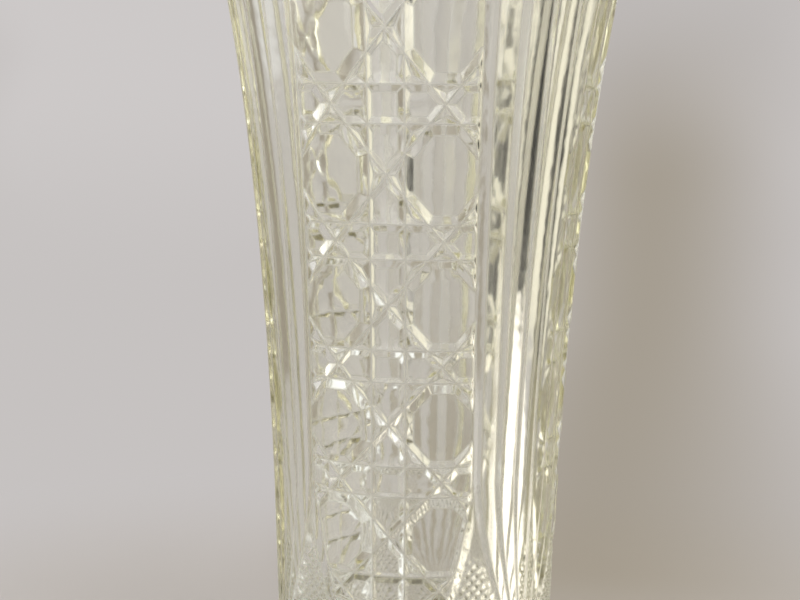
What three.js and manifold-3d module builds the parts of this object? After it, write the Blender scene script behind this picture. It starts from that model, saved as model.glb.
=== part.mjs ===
// Pressed glass vase: one piece of clear glass, flared from a narrow waist, standing on a round foot.
// Three cane panels alternate with three bundles of upright mitre flutes, and the rim is scalloped.
// Units are millimetres, +Z is up, and the origin is the centre of the resting ring.
import * as THREE from "three";
import { mergeVertices } from "three/addons/utils/BufferGeometryUtils.js";
import Module from "manifold-3d";

// Driving dimensions of the body
const height = 230; // the tallest rim point
const rimRadius = 53.4; // at the full height
const waistRadius = 35.1;
const waistHeight = 40;
const flareLength = 85.2; // height in which the flare grows by a factor e
const wall = 5.6; // from the tops of the relief to the smooth inside
const bodyStart = 22; // where the body leaves the foot

// Driving dimensions of the foot and the inside
const footRadius = 44;
const ringInset = 2.5; // from the foot's upright edge to the resting ring
const ringWidth = 5.5;
const footEdge = 5; // height of the foot's upright edge
const footRound = 1.4;
const neckRise = 2.5; // the foot's upper side rises by this much before it turns up into the neck
const collar = 0.6; // the neck stands proud of the body by this much
const recessDepth = 2.4; // the star's ground lies this far above the resting ring
const floorHeight = 23; // inside bottom
const floorFillet = 9;

// Driving dimensions of the relief, as shares of the body's radius or as angles
const panels = 3;
const rowPitch = 0.739; // a cane row's height over the radius
const topRowHeight = 196; // centre of the highest row
const panelAngleLow = THREE.MathUtils.degToRad(32.1); // half a panel, below panelLowHeight
const panelAngleRim = THREE.MathUtils.degToRad(27);
const panelLowHeight = 94;
const columnShare = 0.63; // octagon centres, as a share of half a panel
const uprightShare = 0.32; // upright pair, as a share of a column's distance from the middle
const levelShare = 0.73; // level pair, as a share of half a row
const caneHalfWidth = 0.056;
const caneDepth = 0.044;
const stripDrop = 0.014; // the strips between the octagons lie lower by this much
const border = 0.008; // plain edge between the cane and the first flute

// Driving dimensions of the lancets that end the panels and the flutes
const panelTipHeight = 34;
const panelShoulderHeight = 91;
const fluteTipHeight = 41;
const fluteShoulderHeight = 91;
const flutesPerCorner = 6;
const fluteSlope = 0.56; // depth over half width
const fluteOverlap = 1.06; // wider than their spacing, so that the ridges lie a little low
const fluteLeast = 0.001; // half width at the tip
const fluteTaper = 1.55; // how late the flutes draw together: 1 is a straight taper
const lancetHalfWidth = 0.048;
const lancetDepth = 0.038;
const lancetBulge = 0.9; // the lancet's pull point, as a share of half a panel
const lancetSag = 0.58; // and as a share of the way down from the shoulder to the tip
const lancetStart = 0.05; // the lancet's mitre grows from this share of its size
const lancetFull = 3; // steps in which it reaches its full size

// Driving dimensions of the rim and the star
const rimArch = 8; // rise of the scallop over each panel and over each bundle of flutes
const teethPerPanel = 6;
const teethPerCorner = 6;
const toothDepth = 1.8;
const starRays = 24;
const starInner = 2.5;
const starMargin = 0.6; // plain ground between the star and the resting ring
const rayWidest = 0.62; // where a ray is widest, as a share of its outer end's radius
const rayHalfWidth = 2.1;
const rayDepth = 1.5;
const rayTip = 0.06; // a ray's size at its ends, as a share of its widest

// Faceting
const skinDepth = 0.13; // the sheet's thickness, deeper than any mitre
const roundSides = 48;
const profileSteps = 7;
const filletSteps = 3;
const footSteps = 4;
const sag = 0.5; // how far a flat face may stray from the round body
const lancetSteps = 6;
const sliver = 0.02; // faces narrower than this are merged into their neighbours

const wasm = await Module();
wasm.setup();

// A solid from a closed mesh's coordinates and corner numbers
function solidFrom(position, index) {
  const vertProperties = new Float32Array(position);
  const triVerts = new Uint32Array(index);
  return new wasm.Manifold(new wasm.Mesh({ numProp: 3, vertProperties, triVerts }));
}

// A closed three.js geometry as a solid
function solidOf(geometry) {
  const bare = geometry.clone();
  bare.deleteAttribute("normal");
  bare.deleteAttribute("uv");
  const merged = mergeVertices(bare, 1e-5);
  return solidFrom(merged.attributes.position.array, merged.index.array);
}

// A solid as a geometry with flat faces
function geometryOf(solid) {
  const mesh = solid.getMesh();
  const geometry = new THREE.BufferGeometry();
  geometry.setAttribute("position", new THREE.BufferAttribute(mesh.vertProperties, mesh.numProp));
  geometry.setIndex(new THREE.BufferAttribute(mesh.triVerts, 1));
  const flat = geometry.toNonIndexed();
  flat.computeVertexNormals();
  return flat;
}

// The flare: radius = stem + flare * e^(z / flareLength)
const grow = (z) => Math.exp(z / flareLength);
const flare = (rimRadius - waistRadius) / (grow(height) - grow(waistHeight));
const stem = waistRadius - flare * grow(waistHeight);
const radiusAt = (z) => stem + flare * grow(z);

// The relief is laid out on a flat sheet in units of the local radius: x is the angle from a panel's
// middle, y runs up the wall and h is the height over the uncut surface.
const sheetAt = (z) => (z - flareLength * Math.log(radiusAt(z))) / stem;
function heightAt(y) {
  const s = Math.exp((y * stem) / flareLength);
  return flareLength * Math.log((stem * s) / (1 - flare * s));
}

// Half a panel's angle shrinks steadily towards the rim, and the corner takes what is left.
const cornerAngle = Math.PI / panels;
const panelEdge = panelAngleLow;
function panelAngleAt(z) {
  const share = THREE.MathUtils.clamp((z - panelLowHeight) / (height - panelLowHeight), 0, 1);
  return THREE.MathUtils.lerp(panelAngleLow, panelAngleRim, share);
}
function angleAt(x, z) {
  const edge = panelAngleAt(z);
  if (x <= panelEdge) return (x / panelEdge) * edge;
  return edge + ((x - panelEdge) / (cornerAngle - panelEdge)) * (cornerAngle - edge);
}

// A mitre: a V groove through points { x, y, half, depth } on the sheet, as a closed cutter that
// stands proud of the surface by as much as it is deep.
function mitre(points) {
  const position = [];
  points.forEach((p, i) => {
    const before = points[Math.max(i - 1, 0)];
    const after = points[Math.min(i + 1, points.length - 1)];
    const along = new THREE.Vector2(after.x - before.x, after.y - before.y).normalize();
    const side = new THREE.Vector2(-along.y, along.x).multiplyScalar(2 * p.half);
    position.push(p.x + side.x, p.y + side.y, p.depth);
    position.push(p.x - side.x, p.y - side.y, p.depth);
    position.push(p.x, p.y, -p.depth);
  });
  const index = [0, 2, 1];
  for (let i = 0; i + 1 < points.length; i++)
    for (let k = 0; k < 3; k++) {
      const a = 3 * i + k;
      const b = 3 * i + ((k + 1) % 3);
      index.push(a, b, a + 3, b, b + 3, a + 3);
    }
  const last = 3 * (points.length - 1);
  index.push(last, last + 1, last + 2);
  return solidFrom(position, index);
}

const join = (solids) => solids.reduce((whole, solid) => whole.add(solid));
const straight = (x0, y0, x1, y1, half, depth) =>
  mitre([
    { x: x0, y: y0, half, depth },
    { x: x1, y: y1, half, depth },
  ]);

// A plate of the sheet with the outline given as a THREE.Shape
function plate(outline, bottom, top) {
  const extruded = new THREE.ExtrudeGeometry(outline, { depth: top - bottom, bevelEnabled: false });
  return solidOf(extruded.translate(0, 0, bottom));
}

// The cane: upright, level and crossing mitres round rows of octagons, cut off at the lancet.
const columnX = columnShare * panelEdge;
const rowHalf = rowPitch / 2;
const topRowY = sheetAt(topRowHeight);
const caneTop = topRowY + levelShare * rowHalf;
const caneBottom = sheetAt(panelTipHeight);
const rows = Math.ceil((topRowY - caneBottom) / rowPitch);
const rowYs = Array.from({ length: rows }, (_, i) => topRowY - i * rowPitch);
const lancetTop = sheetAt(panelShoulderHeight);
const lancetPull = new THREE.Vector2(
  lancetBulge * panelEdge,
  THREE.MathUtils.lerp(lancetTop, caneBottom, lancetSag),
);
const lancet = new THREE.QuadraticBezierCurve(
  new THREE.Vector2(panelEdge, lancetTop),
  lancetPull,
  new THREE.Vector2(0, caneBottom),
);

// The octagon between the mitres round a row's centre, which keeps the full height
function octagon(y) {
  const level = levelShare * rowHalf;
  const corner = uprightShare * columnX;
  const inner = levelShare * columnX;
  const outer = 2 * columnX - inner;
  const shape = new THREE.Shape();
  shape.moveTo(corner, y - uprightShare * rowHalf);
  shape.lineTo(inner, y - level);
  shape.lineTo(outer, y - level);
  shape.lineTo(2 * columnX - corner, y - uprightShare * rowHalf);
  shape.lineTo(2 * columnX - corner, y + uprightShare * rowHalf);
  shape.lineTo(outer, y + level);
  shape.lineTo(inner, y + level);
  shape.lineTo(corner, y + uprightShare * rowHalf);
  return plate(shape, -2 * caneDepth, 2 * caneDepth);
}

function caneCutters() {
  const cane = (x0, y0, x1, y1) => straight(x0, y0, x1, y1, caneHalfWidth, caneDepth);
  const past = panelEdge + rowHalf;
  const caneEdge = panelEdge - border;
  const cutters = [cane(uprightShare * columnX, caneBottom, uprightShare * columnX, caneTop)];
  const slope = rowHalf / columnX;
  for (const y of rowYs) {
    for (const side of [-1, 1]) {
      const level = y + side * levelShare * rowHalf;
      cutters.push(cane(-past, level, past, level));
      cutters.push(cane(-past, y - side * past * slope, past, y + side * past * slope));
    }
  }
  cutters.push(cane(-past, caneTop, past, caneTop));
  const outline = new THREE.Shape();
  outline.moveTo(-past, caneBottom);
  for (const p of lancet.getPoints(lancetSteps).reverse()) outline.lineTo(Math.min(p.x, caneEdge), p.y);
  outline.lineTo(caneEdge, caneTop + caneHalfWidth);
  outline.lineTo(-past, caneTop + caneHalfWidth);
  const strips = plate(outline, -stripDrop, caneDepth).subtract(join(rowYs.map(octagon)));
  return join(cutters).add(strips).intersect(plate(outline, -2 * caneDepth, 2 * caneDepth));
}

// The mitre that follows the lancet between the cane and the spandrel
function lancetCutter() {
  const points = lancet.getPoints(lancetSteps).map((p, i) => {
    const share = Math.min(1, lancetStart + i / lancetFull);
    return { x: p.x, y: p.y, half: share * lancetHalfWidth, depth: share * lancetDepth };
  });
  const end = points[points.length - 1];
  points.push({ ...end, x: -2 * lancetHalfWidth, y: end.y - 2 * lancetHalfWidth });
  return mitre(points);
}

// The flutes of a corner: side by side above the shoulder, drawn together to a point below it.
function fluteCutters() {
  const top = sheetAt(height) + rowHalf;
  const shoulder = sheetAt(fluteShoulderHeight);
  const tip = sheetAt(fluteTipHeight);
  const spread = cornerAngle - panelEdge;
  const stations = [];
  for (let i = 0; i <= lancetSteps; i++) {
    const share = i / lancetSteps;
    stations.push({ y: THREE.MathUtils.lerp(tip, shoulder, share), share: 1 - (1 - share) ** fluteTaper });
  }
  for (let i = 1; i <= lancetSteps; i++)
    stations.push({ y: THREE.MathUtils.lerp(shoulder, top, i / lancetSteps), share: 1 });
  const cutters = [];
  for (let i = 0; i < flutesPerCorner; i++) {
    const offset = ((2 * i + 1) / flutesPerCorner - 1) * spread;
    cutters.push(
      mitre(
        stations.map(({ y, share }) => {
          const half = Math.max((share * spread) / flutesPerCorner, fluteLeast) * fluteOverlap;
          const z = heightAt(Math.min(y, sheetAt(height)));
          const stretch = (cornerAngle - panelAngleAt(z)) / spread;
          return { x: cornerAngle + share * offset, y, half, depth: half * fluteSlope * stretch };
        }),
      ),
    );
  }
  return join(cutters);
}

// The sheet's outline from a panel's middle to a corner's middle, with the rim's scallops and teeth
function sheetOutline() {
  const outline = new THREE.Shape();
  outline.moveTo(0, sheetAt(bodyStart));
  outline.lineTo(cornerAngle, sheetAt(bodyStart));
  const arches = [
    { from: cornerAngle, to: panelEdge, teeth: teethPerCorner / 2 },
    { from: 0, to: panelEdge, teeth: teethPerPanel / 2 },
  ];
  const points = arches.map(({ from, to, teeth }) => {
    const line = [];
    for (let i = 0; i <= 2 * teeth; i++) {
      const share = i / (2 * teeth);
      const arch = rimArch * Math.cos((share * Math.PI) / 2);
      const notch = i % 2 ? toothDepth : 0;
      const z = height - rimArch + arch - notch;
      line.push(new THREE.Vector2(THREE.MathUtils.lerp(from, to, share), sheetAt(z)));
    }
    return line;
  });
  for (const p of [...points[0], ...points[1].reverse().slice(1)]) outline.lineTo(p.x, p.y);
  return outline;
}

const sheet = plate(sheetOutline(), -skinDepth, 0)
  .subtract(caneCutters())
  .subtract(lancetCutter())
  .subtract(fluteCutters());

// A sheet point at its place on the flared body, turned from the middle of the first panel
function wrapped([x, y, h], panel = 0, side = 1) {
  const z = heightAt(y);
  const radius = radiusAt(z) * (1 + h);
  const turn = 2 * cornerAngle * panel + side * angleAt(x, z) - Math.PI / 2;
  return new THREE.Vector3(radius * Math.cos(turn), radius * Math.sin(turn), z);
}

// The sheet's relief as points and triangles of point numbers, without its back and its two cut sides
const near = 1e-5;
const atPanel = ([x]) => x < near;
const atCorner = ([x]) => x > cornerAngle - near;
const atBack = ([, , h]) => h < near - skinDepth;
function reliefOf(solid) {
  const { vertProperties, triVerts } = solid.getMesh();
  const points = [];
  for (let i = 0; i < vertProperties.length; i += 3)
    points.push(Array.from(vertProperties.subarray(i, i + 3)));
  const triangles = [];
  for (let i = 0; i < triVerts.length; i += 3) {
    const corners = Array.from(triVerts.subarray(i, i + 3));
    const hidden = [atPanel, atCorner, atBack].some((test) => corners.every((v) => test(points[v])));
    if (!hidden) triangles.push(corners);
  }
  return { points, triangles };
}

// Halves every edge that would stray from the round body by more than sag, in passes that leave the
// triangles on both sides of an edge matched.
function bent({ points, triangles }) {
  const strays = (a, b) => {
    const middle = points[a].map((c, k) => (c + points[b][k]) / 2);
    return wrapped(middle).distanceTo(wrapped(points[a]).add(wrapped(points[b])).divideScalar(2));
  };
  for (;;) {
    const edges = new Map();
    triangles.forEach((corners, t) =>
      corners.forEach((a, k) => {
        const b = corners[(k + 1) % 3];
        const key = Math.min(a, b) + ":" + Math.max(a, b);
        if (!edges.has(key)) edges.set(key, { a, b, stray: strays(a, b), sides: [] });
        edges.get(key).sides.push(t);
      }),
    );
    const worst = [...edges.values()].filter((e) => e.stray > sag).sort((p, q) => q.stray - p.stray);
    if (!worst.length) return { points, triangles };
    const touched = new Set();
    for (const { a, b, sides } of worst) {
      if (sides.some((t) => touched.has(t))) continue;
      const middle = points.length;
      points.push(points[a].map((c, k) => (c + points[b][k]) / 2));
      for (const t of sides) {
        touched.add(t);
        const corners = triangles[t];
        triangles.push(corners.map((v) => (v === a ? middle : v)));
        triangles[t] = corners.map((v) => (v === b ? middle : v));
        touched.add(triangles.length - 1);
      }
    }
  }
}

// The body: the relief on all sides, closed by a fan to the axis below and another above
function wrappedBody() {
  const { points, triangles } = bent(reliefOf(sheet));
  const position = [];
  const index = [];
  const placed = new Map();
  const put = (key, point) => {
    if (!placed.has(key)) {
      placed.set(key, position.length / 3);
      position.push(...point.toArray());
    }
    return placed.get(key);
  };
  for (let panel = 0; panel < panels; panel++)
    for (const side of [1, -1]) {
      const corner = (panel + (side < 0 ? panels - 1 : 0)) % panels;
      const place = (v) => {
        let part = " of " + panel + " " + side;
        if (atPanel(points[v])) part = " on panel " + panel;
        if (atCorner(points[v])) part = " on corner " + corner;
        return put(v + part, wrapped(points[v], panel, side));
      };
      for (const corners of triangles) {
        const ordered = side > 0 ? corners : [...corners].reverse();
        index.push(...ordered.map(place));
        ordered.forEach((a, k) => {
          const b = ordered[(k + 1) % 3];
          if (!atBack(points[a]) || !atBack(points[b])) return;
          const z = points[a][1] < caneTop ? bodyStart : height - rimArch;
          index.push(place(b), place(a), put(z, new THREE.Vector3(0, 0, z)));
        });
      }
    }
  return solidFrom(position, index);
}

// A solid of revolution from a profile of { x: radius, y: height } points that ends on the axis
function turned(points) {
  const lathe = new THREE.LatheGeometry(points, roundSides);
  return solidOf(lathe.rotateX(Math.PI / 2));
}

// The resting ring and, inside it, the star's ground
const ringOuterRadius = footRadius - ringInset;
const ringInnerRadius = ringOuterRadius - ringWidth;
const groundRadius = ringInnerRadius - recessDepth;
const starOuter = groundRadius - starMargin;

// The foot, with the star's ground recessed inside the resting ring
function foot() {
  const neck = radiusAt(bodyStart) + collar;
  const profile = new THREE.Path();
  profile.moveTo(0, recessDepth);
  profile.lineTo(groundRadius, recessDepth);
  profile.lineTo(ringInnerRadius, 0);
  profile.lineTo(ringOuterRadius, 0);
  profile.lineTo(footRadius, footRound);
  profile.lineTo(footRadius, footEdge - footRound);
  profile.lineTo(footRadius - footRound, footEdge);
  profile.quadraticCurveTo(neck, footEdge + neckRise, neck, bodyStart + collar);
  profile.lineTo(0, bodyStart + collar);
  return turned(profile.getPoints(footSteps));
}

// The space that the plunger leaves: smooth, open at the rim, with a rounded bottom
function inside() {
  const points = [new THREE.Vector2(0, floorHeight)];
  const top = floorHeight + floorFillet;
  const side = radiusAt(top) - wall;
  for (let i = 0; i <= filletSteps; i++) {
    const turn = ((i / filletSteps) * Math.PI) / 2;
    points.push(
      new THREE.Vector2(
        side - floorFillet * (1 - Math.sin(turn)),
        floorHeight + floorFillet * (1 - Math.cos(turn)),
      ),
    );
  }
  for (let i = 1; i <= profileSteps; i++) {
    const z = THREE.MathUtils.lerp(top, height + 1, i / profileSteps);
    points.push(new THREE.Vector2(radiusAt(z) - wall, z));
  }
  points.push(new THREE.Vector2(0, height + 1));
  return turned(points);
}

// The star pressed into the underside: rays that are widest in the middle of their length
function star() {
  const rays = [];
  for (let i = 0; i < starRays; i++) {
    const turn = (2 * Math.PI * i) / starRays;
    const points = [starInner, rayWidest * starOuter, starOuter].map((r, k) => {
      const share = k === 1 ? 1 : rayTip;
      return {
        x: r * Math.cos(turn),
        y: r * Math.sin(turn),
        half: share * rayHalfWidth,
        depth: share * rayDepth,
      };
    });
    rays.push(mitre(points).rotate([180, 0, 0]).translate([0, 0, recessDepth]));
  }
  return join(rays);
}

const vase = wrappedBody().add(foot()).subtract(inside()).subtract(star()).simplify(sliver);

const glass = new THREE.MeshStandardMaterial({
  color: 0xe9e8d2,
  roughness: 0.05,
  metalness: 0,
  transparent: true,
  opacity: 0.45,
  side: THREE.DoubleSide,
});

const body = new THREE.Mesh(geometryOf(vase), glass);
body.name = "vase_glass";

const part = new THREE.Group();
part.add(body);

export default part;
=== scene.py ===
import math

import bmesh
import bpy
from mathutils import Matrix, Vector


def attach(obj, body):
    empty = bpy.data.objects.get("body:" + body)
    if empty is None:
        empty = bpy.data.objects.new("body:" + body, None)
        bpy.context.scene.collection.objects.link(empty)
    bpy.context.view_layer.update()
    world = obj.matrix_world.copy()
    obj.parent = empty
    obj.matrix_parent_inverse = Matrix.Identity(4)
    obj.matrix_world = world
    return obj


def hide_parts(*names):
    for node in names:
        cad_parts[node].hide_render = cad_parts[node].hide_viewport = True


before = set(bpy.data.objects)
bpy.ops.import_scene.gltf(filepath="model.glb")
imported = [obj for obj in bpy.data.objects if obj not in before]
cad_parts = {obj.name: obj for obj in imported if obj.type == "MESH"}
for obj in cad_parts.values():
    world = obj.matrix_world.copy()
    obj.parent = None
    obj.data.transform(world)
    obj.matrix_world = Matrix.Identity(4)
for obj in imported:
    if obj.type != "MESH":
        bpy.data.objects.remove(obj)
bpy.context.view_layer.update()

# The vase is one piece of clear glass with a pale straw tint, pressed in a three-part mould: three
# panels of cane between bundles of flutes. The relief is laid out on a flat sheet, whose x is the
# angle from a panel's middle and whose y keeps its proportions, and is wrapped round the body.
HEIGHT = 0.230
FLARE_LENGTH = 0.0852
RIM_RADIUS, WAIST_RADIUS, WAIST_HEIGHT = 0.0534, 0.0351, 0.040
WAIST_GROWTH = math.exp(WAIST_HEIGHT / FLARE_LENGTH)
FLARE = (RIM_RADIUS - WAIST_RADIUS) / (math.exp(HEIGHT / FLARE_LENGTH) - WAIST_GROWTH)
STEM = WAIST_RADIUS - FLARE * WAIST_GROWTH
WALL = 0.0056
CORNER = math.radians(60)
PANEL = math.radians(32.1)
PANEL_AT_RIM = math.radians(27)
PANEL_LOW = 0.094


def radius_at(z):
    """The body's outer radius at a height: a stem that flares towards the rim."""
    return STEM + FLARE * math.exp(z / FLARE_LENGTH)


def sheet_at(z):
    """The sheet's y at a height."""
    return (z - FLARE_LENGTH * math.log(radius_at(z) * 1000)) / STEM


def height_at(y):
    """The height at the sheet's y, found by halving."""
    low, high = 0.0, 0.26
    for _ in range(40):
        middle = (low + high) / 2
        low, high = (middle, high) if sheet_at(middle) < y else (low, middle)
    return low


def angle_at(x, z):
    """The angle round the body at the sheet's x: panels narrow towards the rim, bundles widen."""
    share = min(max((z - PANEL_LOW) / (HEIGHT - PANEL_LOW), 0), 1)
    edge = PANEL + (PANEL_AT_RIM - PANEL) * share
    if x <= PANEL:
        return x / PANEL * edge
    return edge + (x - PANEL) / (CORNER - PANEL) * (CORNER - edge)


# Cane: upright, level and crossing mitres round octagons, with sunk strips between them
ROW = 0.739
COLUMN = 0.63 * PANEL
TOP_ROW = sheet_at(0.196)
ROWS = [TOP_ROW - i * ROW for i in range(6)]
LEVEL = 0.73 * ROW / 2
CANE_TOP = TOP_ROW + LEVEL
CANE_HALF, CANE_DEPTH, STRIP_DROP = 0.056, 0.044, 0.014
STRIP_HALF = CANE_HALF * (1 - STRIP_DROP / CANE_DEPTH)
UPRIGHT = 0.32 * COLUMN
SLOPE = ROW / 2 / COLUMN
DIAGONAL = math.hypot(1, SLOPE)
BORDER, BORDER_RAMP = 0.006, 0.008

# Lancets that end the panels, flutes drawn together to a point, diamond points between them
TIP = sheet_at(0.034)
SHOULDER = sheet_at(0.091)
LANCET_HALF, LANCET_DEPTH = 0.048, 0.038
PULL_X, PULL_Y = 0.9 * PANEL, SHOULDER + (TIP - SHOULDER) * 0.58
FLUTE_TIP = sheet_at(0.041)
SPREAD = CORNER - PANEL
FLUTES, FLUTE_SLOPE, FLUTE_OVERLAP, FLUTE_BEND = 6, 0.56, 1.06, 1.55
POINT, POINT_DEPTH, POINT_FADE = 0.0735, 0.022, 0.03
POINTS_TOP = sheet_at(0.0725)
BODY_START = sheet_at(0.0235)


def lancet_x(y):
    """The lancet's middle line at y: a curve from the panel's edge down to the panel's middle."""
    if y >= SHOULDER:
        return PANEL
    if y <= TIP:
        return 0.0
    low, high = 0.0, 1.0
    for _ in range(30):
        t = (low + high) / 2
        at = (1 - t) ** 2 * SHOULDER + 2 * t * (1 - t) * PULL_Y + t * t * TIP
        low, high = (t, high) if at > y else (low, t)
    return (1 - t) ** 2 * PANEL + 2 * t * (1 - t) * PULL_X


def lancet_size(y):
    """How much of its full size the lancet's mitre has at y."""
    return max(0.0, min(1.0, 0.1 + (SHOULDER - y) / 0.35, (y - TIP + 0.12) / 0.12)) if y < SHOULDER else 0.0


def lancet_half(y):
    """Half the width of the lancet's mitre, measured along x."""
    lean = (lancet_x(y + 0.01) - lancet_x(y - 0.01)) / 0.02
    return LANCET_HALF * lancet_size(y) * math.hypot(1, min(lean, 2.2))


def flute_share(y):
    """How much of their full width the flutes have at y."""
    share = min(max((y - FLUTE_TIP) / (SHOULDER - FLUTE_TIP), 0), 1)
    return 1 - (1 - share) ** FLUTE_BEND


def cane_edge(y):
    """Where the cane stops at y: at a plain border beside the flutes, or at the lancet."""
    return min(PANEL - BORDER, lancet_x(y))


def points_start(y):
    """Where the diamond points begin at y: on the lancet's outer flank."""
    return lancet_x(y) + 0.8 * lancet_half(y)


def in_octagon(x, y):
    """Whether a point of the cane lies on an octagon, and not on a strip."""
    v = min(abs(y - row) for row in ROWS)
    return x > UPRIGHT and v < min(LEVEL, SLOPE * x, SLOPE * (2 * COLUMN - x))


def groove(distance, half, depth):
    """The depth of a V-shaped mitre at a distance from its bottom line."""
    return depth * max(0.0, 1 - abs(distance) / half)


def relief(x, y):
    """How deep the mould cuts below the plain body at a point of the sheet."""
    deepest = 0.0
    share = flute_share(y)
    if share > 0:
        half = share * SPREAD / FLUTES * FLUTE_OVERLAP
        stretch = (CORNER - angle_at(PANEL, height_at(y))) / SPREAD
        for i in range(FLUTES // 2 + 1):
            middle = CORNER + share * ((2 * i + 1) / FLUTES - 1) * SPREAD
            deepest = max(deepest, groove(x - middle, half, half * FLUTE_SLOPE * stretch))
    if lancet_size(y) > 0:
        deepest = max(deepest, groove(x - lancet_x(y), lancet_half(y), LANCET_DEPTH * lancet_size(y)))
    ramp = min(1.0, max(0.0, (cane_edge(y) - x) / BORDER_RAMP))
    if ramp > 0 and y < CANE_TOP + CANE_HALF:
        cane = groove(y - CANE_TOP, CANE_HALF, CANE_DEPTH)
        if y < CANE_TOP + 1e-6:
            cane = max(cane, groove(x - UPRIGHT, CANE_HALF, CANE_DEPTH))
            for row in ROWS:
                for side in (-1, 1):
                    cane = max(cane, groove(y - row - side * LEVEL, CANE_HALF, CANE_DEPTH))
                    cane = max(cane, groove((y - row - side * SLOPE * x) / DIAGONAL, CANE_HALF, CANE_DEPTH))
            if not in_octagon(x, y):
                cane = max(cane, STRIP_DROP)
        deepest = max(deepest, cane * ramp)
    if y < SHOULDER and x > lancet_x(y) - 1e-6:
        edge = CORNER - share * SPREAD * FLUTE_OVERLAP if y > FLUTE_TIP else CORNER + (FLUTE_TIP - y) * 0.6
        fade = min(1, max(0, (edge - x) / POINT_FADE)) * min(1, max(0, (POINTS_TOP - y) / POINT_FADE))
        fade *= min(1, max(0, (y - BODY_START) / POINT_FADE), max(0, (x - points_start(y)) / 0.02))
        if fade > 0:
            for d in (x - CORNER + y, x - CORNER - y):
                d = abs((d / POINT + 0.5) % 1 - 0.5) * POINT / math.sqrt(2)
                deepest = max(deepest, fade * groove(d, POINT / math.sqrt(8), POINT_DEPTH))
    return deepest


def cut(bm, inside, point, normal):
    """Cuts the faces whose middle passes the test along a straight line of the sheet."""
    faces = [f for f in bm.faces if inside(f.calc_center_median())]
    parts = dict.fromkeys(faces)
    for f in faces:
        parts.update(dict.fromkeys([*f.edges, *f.verts]))
    bmesh.ops.bisect_plane(bm, geom=list(parts), dist=1e-6, plane_co=(*point, 0), plane_no=(*normal, 0))


TOP = sheet_at(HEIGHT)
bm = bmesh.new()
bmesh.ops.create_grid(bm, x_segments=16, y_segments=64, size=0.5)
bmesh.ops.translate(bm, verts=bm.verts, vec=(0.5, 0.5, 0))
bmesh.ops.scale(bm, verts=bm.verts, vec=(CORNER, TOP - BODY_START, 1))
bmesh.ops.translate(bm, verts=bm.verts, vec=(0, BODY_START, 0))
for y in (SHOULDER, FLUTE_TIP, TIP):
    cut(bm, lambda c: True, (0, y), (0, 1))

# Lines of the flutes, the cane's edge and the lancet, one band of the sheet after another
levels = sorted({round(v.co.y, 6) for v in bm.verts})
for low, high in zip(levels, levels[1:]):
    lines = []
    if high > FLUTE_TIP + 1e-5:
        for i in range(1, FLUTES + 1):
            lines.append([CORNER - i / FLUTES * flute_share(y) * SPREAD for y in (low, high)])
    lines.append([cane_edge(y) for y in (low, high)])
    lines.append([cane_edge(y) - BORDER_RAMP for y in (low, high)])
    if lancet_size((low + high) / 2) > 0:
        for side in (-1, 1):
            lines.append([lancet_x(y) + side * lancet_half(y) for y in (low, high)])
    for x0, x1 in lines:
        if max(x0, x1) > 1e-5:
            cut(bm, lambda c: low < c.y < high, (x0, low), (high - low, x0 - x1))


def in_cane(c):
    return c.y < CANE_TOP and c.x < cane_edge(c.y)


def octagon_side(c):
    return in_cane(c) and in_octagon(c.x, c.y)


def strip_side(c):
    return in_cane(c) and not in_octagon(c.x, c.y)


# Lines of the cane: first the mitres' bottoms, then their shoulders on both sides
for offset in (0, CANE_HALF, -STRIP_HALF):
    test = {0: in_cane, CANE_HALF: octagon_side, -STRIP_HALF: strip_side}[offset]
    cut(bm, test, (UPRIGHT + offset, 0), (1, 0))
    cut(bm, lambda c: c.x < PANEL - BORDER, (0, CANE_TOP + offset), (0, 1))
    for row in ROWS:
        for side in (-1, 1):
            level = row + side * LEVEL
            cut(bm, lambda c: test(c) and abs(c.y - level) < 0.08, (0, level - side * offset), (0, 1))
            for shift in {offset, -offset}:
                start = row + shift * DIAGONAL
                near = lambda c: test(c) and abs(c.y - row - side * SLOPE * c.x) < 0.12
                cut(bm, near, (0, start), (-side * SLOPE, 1))

# Hips where two mitres of the cane cross
crossings = [((UPRIGHT, CANE_TOP), (1, 0), (0, 1))]
for row in ROWS:
    for side in (-1, 1):
        level = row + side * LEVEL
        crossings.append(((UPRIGHT, level), (1, 0), (0, 1)))
        crossings.append(((UPRIGHT, row + side * SLOPE * UPRIGHT), (0, 1), (1, side * SLOPE)))
        crossings.append(((0.73 * COLUMN, level), (1, 0), (1, side * SLOPE)))
        crossings.append(((1.27 * COLUMN, level), (1, 0), (1, -side * SLOPE)))
    crossings.append(((0, row), (1, SLOPE), (1, -SLOPE)))
    crossings.append(((COLUMN, row - ROW / 2), (1, SLOPE), (1, -SLOPE)))
for (x, y), a, b in crossings:
    a, b = Vector(a).normalized(), Vector(b).normalized()
    for along in (a + b, a - b):
        along = along.normalized()
        reach = min(0.1, CANE_HALF / abs(along.cross(a)) * 1.15)
        close = lambda c: in_cane(c) and math.hypot(c.x - x, c.y - y) < reach
        cut(bm, close, (x, y), (-along.y, along.x))


# Lines of the diamond points
def in_points(c):
    return c.y < POINTS_TOP and points_start(c.y) < c.x < CORNER - flute_share(c.y) * SPREAD


half = POINT / 2
for k in range(int(CORNER / half) + 1):
    cut(bm, in_points, (CORNER - k * half, 0), (1, 0))
for k in range(math.ceil(BODY_START / half), int(POINTS_TOP / half) + 1):
    cut(bm, in_points, (0, k * half), (0, 1))
for side in (-1, 1):
    for k in range(-200, 201):
        low = min(side * BODY_START, side * POINTS_TOP) - CORNER
        high = max(side * BODY_START, side * POINTS_TOP)
        if low < k * POINT < high:
            near = lambda c: in_points(c) and abs(c.x - CORNER + side * c.y - k * POINT) < POINT
            cut(bm, near, (CORNER + k * POINT, 0), (1, side))

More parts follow.
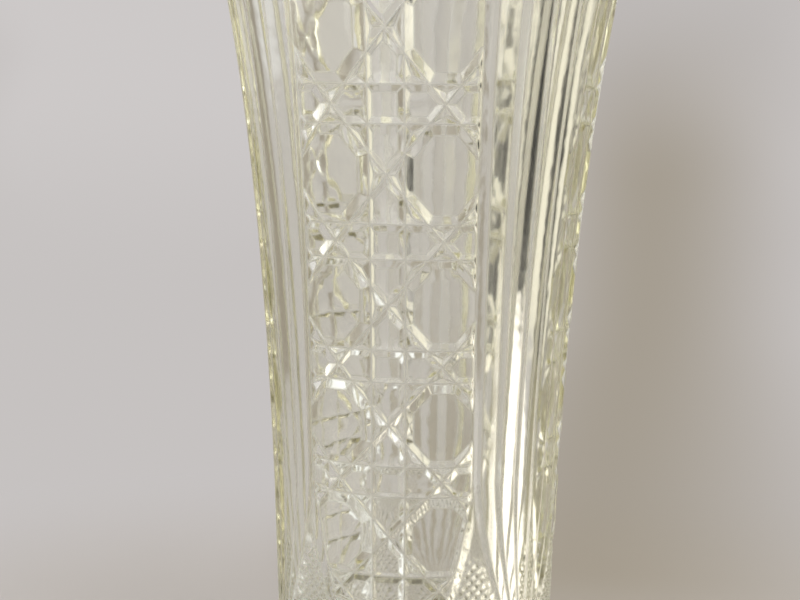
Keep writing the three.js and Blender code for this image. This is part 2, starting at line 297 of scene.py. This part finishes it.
# The rim's outline: an arch over the panel and another over the flutes, both toothed
TEETH, TOOTH, ARCH = 6, 0.0018, 0.008
ROUNDING = ((0.0005, 0.00045), (0.0008, 0.00015))
above = []
for start, end in ((0, PANEL), (CORNER, PANEL)):
    for i in range(TEETH):
        ends = []
        for k in (i, i + 1):
            share = k / TEETH
            z = HEIGHT - 0.0006 - ARCH + ARCH * math.cos(share * math.pi / 2) - (TOOTH if k % 2 else 0)
            ends.append((start + (end - start) * share, sheet_at(z)))
        (x0, y0), (x1, y1) = sorted(ends)
        for x in (x0, x1):
            cut(bm, lambda c: c.y > CANE_TOP, (x, 0), (1, 0))
        cut(bm, lambda c: x0 < c.x < x1 and c.y > CANE_TOP, (x0, y0), (y0 - y1, x1 - x0))
        for f in bm.faces:
            c = f.calc_center_median()
            if x0 < c.x < x1 and c.y > y0 + (c.x - x0) / (x1 - x0) * (y1 - y0):
                above.append(f)
bmesh.ops.delete(bm, geom=above, context="FACES")

# The sheet is pressed and wrapped round the body
top_edges = []
bottom_edges = []
for e in bm.edges:
    if not e.is_boundary:
        continue
    a, b = (v.co for v in e.verts)
    if min(a.y, b.y) > CANE_TOP and abs(a.x - b.x) > 1e-6:
        top_edges.append(e)
    elif max(a.y, b.y) < BODY_START + 1e-5:
        bottom_edges.append(e)
for v in bm.verts:
    x, y = v.co.x, v.co.y
    z = height_at(y)
    r = radius_at(z) * (1 - relief(x, y))
    a = angle_at(x, z)
    v.co = (r * math.sin(a), -r * math.cos(a), z)


def ring(bm, edges, place):
    """Carries an edge loop on by one ring of faces, to where place(radius, z) puts each corner."""
    made = bmesh.ops.extrude_edge_only(bm, edges=edges)["geom"]
    for v in made:
        if isinstance(v, bmesh.types.BMVert):
            r = math.hypot(v.co.x, v.co.y)
            to, z = place(r, v.co.z)
            v.co = (v.co.x / r * to, v.co.y / r * to, z)
    return [e for e in made if isinstance(e, bmesh.types.BMEdge)]


# Over the rim and down the smooth inside
FLOOR, FILLET, POLE = 0.023, 0.009, 0.00001
edges = top_edges
for inward, up in ROUNDING:
    edges = ring(bm, edges, lambda r, z: (r - inward, z + up))
edges = ring(bm, edges, lambda r, z: (radius_at(z) - WALL + 0.0013, z))
for inward, down in reversed(ROUNDING):
    edges = ring(bm, edges, lambda r, z: (r - inward, z - down))
for level in [0.217 - i * 0.0155 for i in range(12)] + [FLOOR + FILLET]:
    edges = ring(bm, edges, lambda r, z: (radius_at(level) - WALL, level))
side = radius_at(FLOOR + FILLET) - WALL
for i in range(1, 7):
    turn = math.radians(90 - 15 * i)
    inner, level = side - FILLET * (1 - math.sin(turn)), FLOOR + FILLET * (1 - math.cos(turn))
    edges = ring(bm, edges, lambda r, z: (inner, level))
for inner in (0.014, 0.006, POLE):
    edges = ring(bm, edges, lambda r, z: (inner, FLOOR - 0.0002))

# Down the neck, over the foot, round its resting ring and in to the middle of the recess
NECK = radius_at(0.022)
RECESS = 0.0024
foot = [(NECK + 0.0001, 0.0231), (NECK + 0.0008, 0.0225), (NECK + 0.0010, 0.0215), (NECK + 0.0007, 0.0206)]
for i in range(1, 11):
    t = i / 10
    foot.append((
        (1 - t) ** 2 * (NECK + 0.0004) + 2 * t * (1 - t) * (NECK + 0.0004) + t * t * 0.0426,
        (1 - t) ** 2 * 0.0200 + 2 * t * (1 - t) * 0.0075 + t * t * 0.0050,
    ))
foot += [(0.0433, 0.0047), (0.0438, 0.0042), (0.0440, 0.0035), (0.0440, 0.0016), (0.0437, 0.0008)]
foot += [(0.0430, 0.0003), (0.0415, 0.0), (0.0360, 0.0), (0.0351, 0.0004), (0.0344, 0.0013)]
foot += [(0.0338, 0.0021), (0.0330, RECESS)]
for inner in (0.0300, 0.0268, 0.0236, 0.0205, 0.0175, 0.0145, 0.0115, 0.0085, 0.0055, 0.0025, POLE):
    foot.append((inner, RECESS))
edges = bottom_edges
for to, level in foot:
    edges = ring(bm, edges, lambda r, z: (to, level))

# The star under the foot: 24 rays that are widest in the middle of their length
RAY_STEP, RAY_DEPTH, RAY_HALF = 15, 0.0015, 0.0021
RAY_START, RAY_END = 0.0025, 0.033
for v in bm.verts:
    r = math.hypot(v.co.x, v.co.y)
    if abs(v.co.z - RECESS) < 1e-5 and r < RAY_END + 0.0001:
        share = max(0.06, min((r - RAY_START) / 0.018, (RAY_END - r) / 0.0125))
        off = abs((math.degrees(math.atan2(v.co.x, -v.co.y)) / RAY_STEP + 0.5) % 1 - 0.5) * RAY_STEP
        v.co.z += RAY_DEPTH * max(0.0, share - r * math.radians(off) / RAY_HALF)

# The other half of the panel, the other two panels, and the seams closed
whole = list(bm.verts) + list(bm.edges) + list(bm.faces)
bmesh.ops.mirror(bm, geom=whole, matrix=Matrix.Identity(4), merge_dist=1e-6, axis="X")
whole = list(bm.verts) + list(bm.edges) + list(bm.faces)
bmesh.ops.spin(bm, geom=whole, cent=(0, 0, 0), axis=(0, 0, 1), angle=math.radians(240), steps=2,
               use_duplicate=True)
bmesh.ops.remove_doubles(bm, verts=bm.verts, dist=3e-5)
bmesh.ops.triangulate(bm, faces=bm.faces, quad_method="BEAUTY", ngon_method="BEAUTY")
bmesh.ops.recalc_face_normals(bm, faces=bm.faces)
mesh = bpy.data.meshes.new("vase")
bm.to_mesh(mesh)
bm.free()
for p in mesh.polygons:
    p.use_smooth = True
mesh.set_sharp_from_angle(angle=math.radians(24))
vase = bpy.data.objects.new("pressed_glass_vase", mesh)
bpy.context.scene.collection.objects.link(vase)


def ramp(tree, value, low, high):
    """A smooth step of a socket's value, from 0 at low to 1 at high."""
    node = tree.nodes.new("ShaderNodeMapRange")
    node.interpolation_type = "SMOOTHSTEP"
    node.inputs["From Min"].default_value = low
    node.inputs["From Max"].default_value = high
    tree.links.new(value, node.inputs["Value"])
    return node.outputs["Result"]


def maths(tree, operation, *values):
    """A Math node over numbers or sockets."""
    node = tree.nodes.new("ShaderNodeMath")
    node.operation = operation
    for socket, value in zip(node.inputs, values):
        if isinstance(value, (int, float)):
            socket.default_value = value
        else:
            tree.links.new(value, socket)
    return node.outputs[0]


# Pressed glass: fire-polished and a little wavy, with a tint that deepens with thickness
glass = bpy.data.materials.new("pressed_glass")
glass.use_nodes = True
tree = glass.node_tree
nodes, links = tree.nodes, tree.links
shader = nodes["Principled BSDF"]
shader.inputs["Base Color"].default_value = (0.985, 0.985, 0.965, 1)
shader.inputs["IOR"].default_value = 1.52
shader.inputs["Transmission Weight"].default_value = 1.0
place = nodes.new("ShaderNodeTexCoord")
waves = nodes.new("ShaderNodeTexNoise")
waves.inputs["Scale"].default_value = 120
waves.inputs["Detail"].default_value = 2
links.new(place.outputs["Object"], waves.inputs["Vector"])
bump = nodes.new("ShaderNodeBump")
bump.inputs["Strength"].default_value = 1.0
bump.inputs["Distance"].default_value = 0.0001
links.new(waves.outputs["Fac"], bump.inputs["Height"])
# The mould rounds every edge
soft = nodes.new("ShaderNodeBevel")
soft.samples = 6
soft.inputs["Radius"].default_value = 0.0008
links.new(soft.outputs["Normal"], bump.inputs["Normal"])
links.new(bump.outputs["Normal"], shader.inputs["Normal"])
# Edges are worn a little dull, where the rounded normal leaves the face's own
flat = nodes.new("ShaderNodeNewGeometry")
agree = nodes.new("ShaderNodeVectorMath")
agree.operation = "DOT_PRODUCT"
links.new(soft.outputs["Normal"], agree.inputs[0])
links.new(flat.outputs["Normal"], agree.inputs[1])
wear = nodes.new("ShaderNodeMapRange")
wear.interpolation_type = "SMOOTHSTEP"
wear.inputs["From Min"].default_value = 0.995
wear.inputs["From Max"].default_value = 0.95
wear.inputs["To Min"].default_value = 0.05
wear.inputs["To Max"].default_value = 0.30
links.new(agree.outputs["Value"], wear.inputs["Value"])
# The flutes are a little duller than the cane
FLUTE_ROUGHNESS = 0.09
axes = nodes.new("ShaderNodeSeparateXYZ")
links.new(place.outputs["Object"], axes.inputs["Vector"])
turned = maths(tree, "ARCTAN2", axes.outputs["X"], maths(tree, "MULTIPLY", axes.outputs["Y"], -1))
turned = maths(tree, "ABSOLUTE", maths(tree, "WRAP", turned, CORNER, -CORNER))
fluted = maths(tree, "MULTIPLY", ramp(tree, turned, math.radians(30), math.radians(33)), FLUTE_ROUGHNESS)
links.new(maths(tree, "MAXIMUM", wear.outputs["Result"], fluted), shader.inputs["Roughness"])
absorb = nodes.new("ShaderNodeVolumeAbsorption")
absorb.inputs["Color"].default_value = (0.61, 0.57, 0.16, 1)
absorb.inputs["Density"].default_value = 14
links.new(absorb.outputs["Volume"], nodes["Material Output"].inputs["Volume"])
mesh.materials.append(glass)
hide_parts("vase_glass")
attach(vase, "root")

# The backdrop is one sheet of pale grey paper, laid over a table and curved up behind the vase.
# It lies a hair under the vase, so that the two never share a face.
PAPER_LEVEL, BEND_START, BEND = -0.0003, 0.75, 0.25
PAPER_FRONT, PAPER_TOP, PAPER_HALF = -0.9, 1.4, 1.6
stage = bmesh.new()
sweep = [(PAPER_FRONT, PAPER_LEVEL), (BEND_START, PAPER_LEVEL)]
for i in range(1, 11):
    turn = math.radians(9 * i)
    sweep.append((BEND_START + BEND * math.sin(turn), BEND - BEND * math.cos(turn)))
sweep.append((BEND_START + BEND, PAPER_TOP))
corners = [stage.verts.new((-PAPER_HALF, y, z)) for y, z in sweep]
line = [stage.edges.new(pair) for pair in zip(corners, corners[1:])]
made = bmesh.ops.extrude_edge_only(stage, edges=line)["geom"]
made = [v for v in made if isinstance(v, bmesh.types.BMVert)]
bmesh.ops.translate(stage, verts=made, vec=(2 * PAPER_HALF, 0, 0))
stage_mesh = bpy.data.meshes.new("backdrop")
stage.to_mesh(stage_mesh)
stage.free()
for p in stage_mesh.polygons:
    p.use_smooth = True
backdrop = bpy.data.objects.new("backdrop", stage_mesh)
bpy.context.scene.collection.objects.link(backdrop)


def band(tree, value, rise, full, fall, end):
    """A socket's value from 0 at rise to 1 at full, and back to 0 from fall to end."""
    return maths(tree, "MULTIPLY", ramp(tree, value, rise, full), ramp(tree, value, end, fall))


def blend(tree, mask, under, over):
    """One colour laid over another by a mask."""
    node = tree.nodes.new("ShaderNodeMix")
    node.data_type = "RGBA"
    tree.links.new(mask, node.inputs["Factor"])
    for socket, colour in ((node.inputs[6], under), (node.inputs[7], over)):
        if isinstance(colour, tuple):
            socket.default_value = (*colour, 1)
        else:
            tree.links.new(colour, socket)
    return node.outputs[2]


paper = bpy.data.materials.new("backdrop_paper")
paper.use_nodes = True
tree = paper.node_tree
sheet = tree.nodes["Principled BSDF"]
sheet.inputs["Roughness"].default_value = 0.9
place = tree.nodes.new("ShaderNodeTexCoord")
split = tree.nodes.new("ShaderNodeSeparateXYZ")
tree.links.new(place.outputs["Object"], split.inputs["Vector"])
across, back = split.outputs["X"], split.outputs["Y"]
ray = tree.nodes.new("ShaderNodeLightPath")
radius = maths(tree, "MULTIPLY", across, across)
radius = maths(tree, "SQRT", maths(tree, "ADD", radius, maths(tree, "MULTIPLY", back, back)))
around = maths(tree, "ARCTAN2", across, back)

# Soft clouds on the upright part, and a brown painted shadow behind the vase, low down
clouds = tree.nodes.new("ShaderNodeTexNoise")
clouds.inputs["Scale"].default_value = 2.6
clouds.inputs["Detail"].default_value = 2
tree.links.new(place.outputs["Object"], clouds.inputs["Vector"])
cloudy = maths(tree, "SUBTRACT", ramp(tree, clouds.outputs["Fac"], 0.35, 0.65), 0.5)
cloudy = maths(tree, "MULTIPLY_ADD", cloudy, ramp(tree, split.outputs["Z"], 0.0, 0.2), 0.5)
colour = blend(tree, cloudy, (0.52, 0.495, 0.485), (0.61, 0.585, 0.58))
# painted shadow: the paper is darkened to brown behind the vase, on the floor and the foot of the bend
painted_shadow = band(tree, across, -0.12, 0.03, 0.03, 0.19)
painted_shadow = maths(tree, "MULTIPLY", painted_shadow, ramp(tree, split.outputs["Z"], 0.30, 0.10))
painted_shadow = maths(tree, "MULTIPLY", painted_shadow, ramp(tree, back, 0.04, 0.2))
colour = blend(tree, painted_shadow, colour, (0.38, 0.34, 0.285))

# Two zones of painted shade, left and right, that only show through the glass
for start, full, near, painted_shade_tone in (
    (-0.64, -0.72, 0.5, (0.34, 0.30, 0.25)),
    (0.54, 0.62, 0.16, (0.36, 0.33, 0.22)),
):
    stop = ramp(tree, maths(tree, "ABSOLUTE", around), 0.98, 0.88)
    side = maths(tree, "MULTIPLY", ramp(tree, around, start, full), stop)
    side = maths(tree, "MULTIPLY", side, ramp(tree, radius, near, near + 0.08))
    side = maths(tree, "MULTIPLY", side, ray.outputs["Is Transmission Ray"])
    # painted shade: the paper is darkened here for rays that come through the glass
    colour = blend(tree, side, colour, painted_shade_tone)
tree.links.new(colour, sheet.inputs["Base Color"])

# Away from the vase the paper shows its colour, with its painted shadow and shade, and near it the lamps'
# light and shadow
glow = tree.nodes.new("ShaderNodeEmission")
tree.links.new(colour, glow.inputs["Color"])
seen = maths(tree, "MULTIPLY", ray.outputs["Is Camera Ray"], ramp(tree, radius, 0.16, 0.34))
for through in ("Is Transmission Ray", "Is Glossy Ray"):
    mirrored = maths(tree, "MULTIPLY", ray.outputs[through], ramp(tree, radius, 0.04, 0.10))
    seen = maths(tree, "MAXIMUM", seen, mirrored)
far = tree.nodes.new("ShaderNodeMixShader")
tree.links.new(seen, far.inputs["Fac"])
tree.links.new(sheet.outputs["BSDF"], far.inputs[1])
tree.links.new(glow.outputs["Emission"], far.inputs[2])

# Through the glass the room is seen past the paper's right end
gap = tree.nodes.new("ShaderNodeMixShader")
clear = tree.nodes.new("ShaderNodeBsdfTransparent")
open_side = maths(tree, "MULTIPLY", ray.outputs["Is Transmission Ray"], ramp(tree, across, 0.24, 0.30))
open_side = maths(tree, "MULTIPLY", open_side, ramp(tree, radius, 0.5, 0.6))
tree.links.new(open_side, gap.inputs["Fac"])
tree.links.new(far.outputs["Shader"], gap.inputs[1])
tree.links.new(clear.outputs["BSDF"], gap.inputs[2])
tree.links.new(gap.outputs["Shader"], tree.nodes["Material Output"].inputs["Surface"])
stage_mesh.materials.append(paper)

# Soft studio light: a large window-like lamp in front on the right and a weaker one on the left,
# both above the vase, and two glowing sheets that lie on the paper and show in the flutes.
def lamp(name, place, aim, size, power, colour):
    """A soft rectangular lamp that shines from its place towards its aim."""
    data = bpy.data.lights.new(name, "AREA")
    data.shape = "RECTANGLE"
    data.size, data.size_y = size
    data.energy = power
    data.color = colour
    made = bpy.data.objects.new(name, data)
    made.location = place
    made.rotation_euler = (Vector(aim) - Vector(place)).to_track_quat("-Z", "Y").to_euler()
    bpy.context.scene.collection.objects.link(made)


lamp("window", (0.6, -0.6, 0.7), (0, 0, 0.12), (0.6, 0.9), 4, (0.92, 0.96, 1))
lamp("fill", (-0.8, -0.3, 0.4), (0, 0, 0.12), (0.3, 0.8), 1.2, (1, 0.97, 0.90))
lamp("right_reflector", (0.31, 0.05, 0.002), (0.31, 0.05, 1), (0.52, 0.24), 0.50, (1, 0.95, 0.84))
lamp("left_reflector", (-0.14, 0.085, 0.002), (-0.14, 0.085, 1), (0.14, 0.08), 0.032, (0.86, 0.93, 1))

# The room round the studio is pale, and creamier on the right, with three dark doorways there
# that give the flutes their dark streaks. Seen without the glass it is a plain pale grey.
world = bpy.data.worlds.new("room")
bpy.context.scene.world = world
world.use_nodes = True
tree = world.node_tree
place = tree.nodes.new("ShaderNodeTexCoord")
split = tree.nodes.new("ShaderNodeSeparateXYZ")
tree.links.new(place.outputs["Generated"], split.inputs["Vector"])
bearing = maths(tree, "ARCTAN2", split.outputs["X"], split.outputs["Y"])
rise = split.outputs["Z"]
colour = blend(tree, ramp(tree, split.outputs["X"], -0.5, 0.7), (0.80, 0.79, 0.81), (1.0, 0.95, 0.80))
DOORWAYS = ((1.17, 1.50, 0.25), (0.68, 0.86, -0.03), (0.22, 0.47, -0.03))
SILL, SOFT = -0.27, 0.02
for left, right, top in DOORWAYS:
    wide = band(tree, bearing, left - SOFT, left + SOFT, right - SOFT, right + SOFT)
    tall = band(tree, rise, SILL - SOFT / 2, SILL + SOFT / 2, top - SOFT, top + SOFT)
    colour = blend(tree, maths(tree, "MULTIPLY", wide, tall), colour, (0.006, 0.006, 0.004))
ray = tree.nodes.new("ShaderNodeLightPath")
colour = blend(tree, ray.outputs["Is Camera Ray"], colour, (0.72, 0.70, 0.69))
tree.links.new(colour, tree.nodes["Background"].inputs["Color"])

# The camera looks down a little at the body's middle, close up and from the right, as in the
# photograph. Slopes are shares of the focal length, which is 1500 of the photograph's pixels.
DOWN, ASIDE, ROLL = math.atan(205 / 1500), math.atan(18 / 1500), math.radians(0.6)
ROUND_TO_THE_RIGHT = math.radians(10.5)
EYE_HEIGHT, EYE_DISTANCE = 0.18125, 0.375 / math.cos(DOWN)
camera = bpy.data.cameras.new("camera")
camera.sensor_width = 36
camera.lens = 67.5
eye = bpy.data.objects.new("camera", camera)
eye_x, eye_y = EYE_DISTANCE * math.sin(ROUND_TO_THE_RIGHT), -EYE_DISTANCE * math.cos(ROUND_TO_THE_RIGHT)
eye.location = (eye_x, eye_y, EYE_HEIGHT)
eye.rotation_mode = "QUATERNION"
aim = Matrix.Rotation(ROUND_TO_THE_RIGHT + ASIDE, 4, "Z") @ Matrix.Rotation(math.radians(90) - DOWN, 4, "X")
aim = aim @ Matrix.Rotation(ROLL, 4, "Z")
eye.rotation_quaternion = aim.to_quaternion()
bpy.context.scene.collection.objects.link(eye)
bpy.context.scene.camera = eye

# Light is caught between the facets for many turns before it leaves the glass
scene = bpy.context.scene
scene.view_settings.view_transform = "Standard"
scene.cycles.max_bounces = scene.cycles.transmission_bounces = scene.cycles.glossy_bounces = 24
